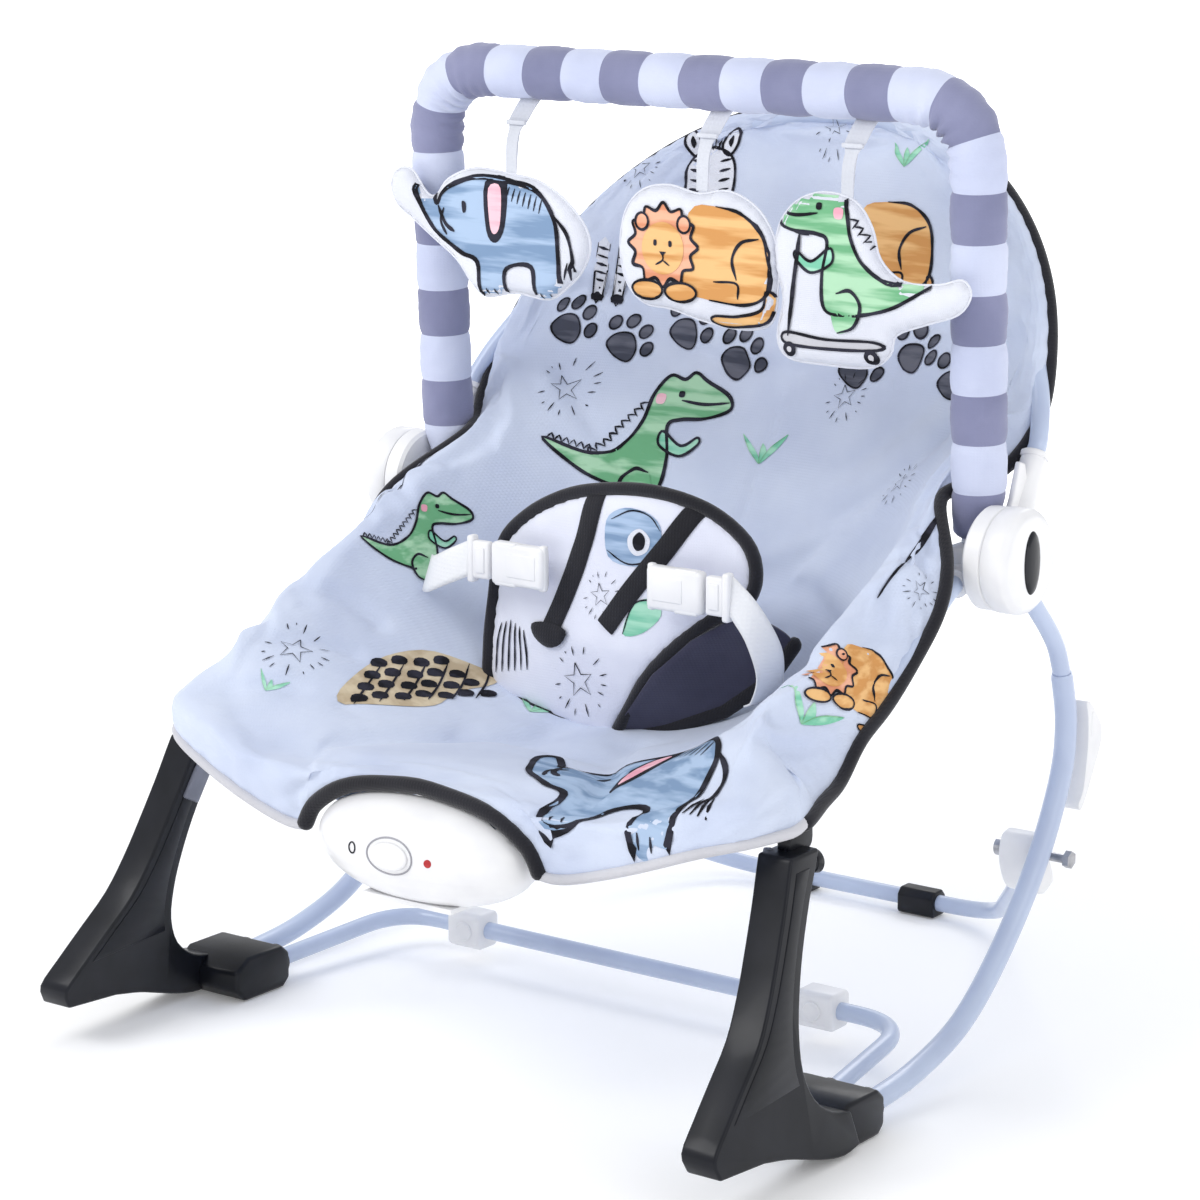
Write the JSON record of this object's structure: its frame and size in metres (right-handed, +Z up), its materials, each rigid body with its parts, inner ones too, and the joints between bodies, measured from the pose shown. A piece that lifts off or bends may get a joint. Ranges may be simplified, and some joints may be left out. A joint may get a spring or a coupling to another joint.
{
  "type": "baby bouncer seat",
  "caption": "Reclining baby bouncer seat on a tube rocker frame with folding kickstand, striped toy bar, soft hanging toys and waist harness.",
  "frame": {"origin": "on the floor, at the middle of the outline seen from above", "axes": "+X to the sitter's left, -Y out of the seat's front, +Z up"},
  "size_m": [0.5094, 0.551, 0.5925],
  "materials": {
    "leg_black": "moulded gloss black plastic",
    "insert_grey": "smooth grey plastic",
    "screw_steel": "zinc-plated steel",
    "frame_paint": "light blue-grey powder coat, satin",
    "white_plastic": "satin white plastic",
    "unit_white": "smooth white plastic",
    "button_black": "satin black plastic",
    "seat_fabric": "pale lavender-blue printed polyester over thin padding, black piping",
    "harness_fabric": "white printed polyester with black binding",
    "sleeve_fabric": "padded polyester with dark and light lavender stripes",
    "webbing_white": "white polyester webbing",
    "plush_blue": "short-pile plush, blue-grey print",
    "plush_tan": "short-pile plush, tan print",
    "plush_green": "short-pile plush, green print"
  },
  "bodies": {
    "frame": {"leg_left": "leg_black", "leg_right": "leg_black", "leg_insert_left": "insert_grey", "leg_insert_right": "insert_grey", "leg_knob_left": "leg_black", "leg_knob_right": "leg_black", "leg_screw_left": "screw_steel", "leg_screw_right": "screw_steel", "crossbar": "frame_paint", "clamp_left": "white_plastic", "clamp_right": "white_plastic", "clamp_screw_left": "screw_steel", "clamp_screw_right": "screw_steel", "rail_lower_left": "frame_paint", "rail_lower_right": "frame_paint", "rail_upper_left": "frame_paint", "rail_upper_right": "frame_paint", "rail_bumper_left": "white_plastic", "rail_bumper_right": "white_plastic", "kickstand_bolt_left": "screw_steel", "kickstand_bolt_right": "screw_steel", "hub_outer_left": "white_plastic", "hub_outer_right": "white_plastic", "seat_frame": "frame_paint", "seat_pad": "seat_fabric", "unit_housing": "unit_white", "toy_bar_socket_left": "white_plastic", "toy_bar_socket_right": "white_plastic"},
    "backrest": {"hub_inner_left": "white_plastic", "hub_inner_right": "white_plastic", "back_frame": "frame_paint", "back_pad": "seat_fabric"},
    "kickstand": {"kickstand_tube": "frame_paint", "kickstand_end_left": "white_plastic", "kickstand_end_right": "white_plastic", "kickstand_foot_left": "leg_black", "kickstand_foot_right": "leg_black"},
    "toy_bar": {"toy_bar_tube": "frame_paint", "toy_bar_sleeve": "sleeve_fabric"},
    "elephant": {"toy_strap_right": "webbing_white", "toy_elephant": "plush_blue"},
    "lion": {"toy_strap_middle": "webbing_white", "toy_lion": "plush_tan"},
    "crocodile": {"toy_strap_left": "webbing_white", "toy_crocodile": "plush_green"},
    "recline_button_left": {"hub_button_left": "button_black"},
    "recline_button_right": {"hub_button_right": "button_black"},
    "unit_switch_knob": {"unit_switch": "unit_white"},
    "battery_cover": {"battery_door": "unit_white"},
    "harness": {"crotch_pad": "harness_fabric", "buckle_left": "white_plastic", "buckle_right": "white_plastic"},
    "waist_strap_end_left": {"buckle_tongue_left": "white_plastic", "waist_strap_left": "webbing_white"},
    "waist_strap_end_right": {"buckle_tongue_right": "white_plastic", "waist_strap_right": "webbing_white"}
  },
  "joints": [
    {"name": "backrest_recline", "type": "hinge", "parent": "frame", "child": "backrest", "pos_m": [0, 0.0625, 0.304], "axis": [-1, 0, 0], "range_deg": [-6, 20]},
    {"name": "kickstand_fold", "type": "hinge", "parent": "frame", "child": "kickstand", "pos_m": [0, 0.1065, 0.112], "axis": [1, 0, 0], "range_deg": [0, 70]},
    {"name": "toy_bar_lift", "type": "slide", "parent": "frame", "child": "toy_bar", "axis": [0, -0.0469, 0.9989], "range_m": [0, 0.05]},
    {"name": "elephant_swing", "type": "hinge", "parent": "toy_bar", "child": "elephant", "pos_m": [-0.122, 0.0355, 0.57], "axis": [1, 0, 0], "range_deg": [-35, 1]},
    {"name": "lion_swing", "type": "hinge", "parent": "toy_bar", "child": "lion", "pos_m": [0.024, 0.0355, 0.57], "axis": [1, 0, 0], "range_deg": [-35, 25]},
    {"name": "crocodile_swing", "type": "hinge", "parent": "toy_bar", "child": "crocodile", "pos_m": [0.128, 0.0355, 0.57], "axis": [1, 0, 0], "range_deg": [-35, 1]},
    {"name": "recline_button_left_press", "type": "slide", "parent": "frame", "child": "recline_button_left", "axis": [-1, 0, 0], "range_m": [0, 0.003], "stiffness_N_per_m": 600},
    {"name": "recline_button_right_press", "type": "slide", "parent": "frame", "child": "recline_button_right", "axis": [1, 0, 0], "range_m": [0, 0.003], "stiffness_N_per_m": 600},
    {"name": "unit_switch_slide", "type": "slide", "parent": "frame", "child": "unit_switch_knob", "axis": [1, 0, 0], "range_m": [-0.004, 0.004]},
    {"name": "battery_cover_open", "type": "hinge", "parent": "frame", "child": "battery_cover", "pos_m": [0, -0.189, 0.1225], "axis": [1, 0, 0], "range_deg": [0, 85]},
    {"name": "harness_fold", "type": "hinge", "parent": "frame", "child": "harness", "pos_m": [0, -0.0195, 0.186], "axis": [1, 0, 0], "range_deg": [0, 50]},
    {"name": "waist_strap_left_release", "type": "slide", "parent": "harness", "child": "waist_strap_end_left", "axis": [1, 0, 0], "range_m": [0, 0.018]},
    {"name": "waist_strap_right_release", "type": "slide", "parent": "harness", "child": "waist_strap_end_right", "axis": [-1, 0, 0], "range_m": [0, 0.018]}
  ]
}
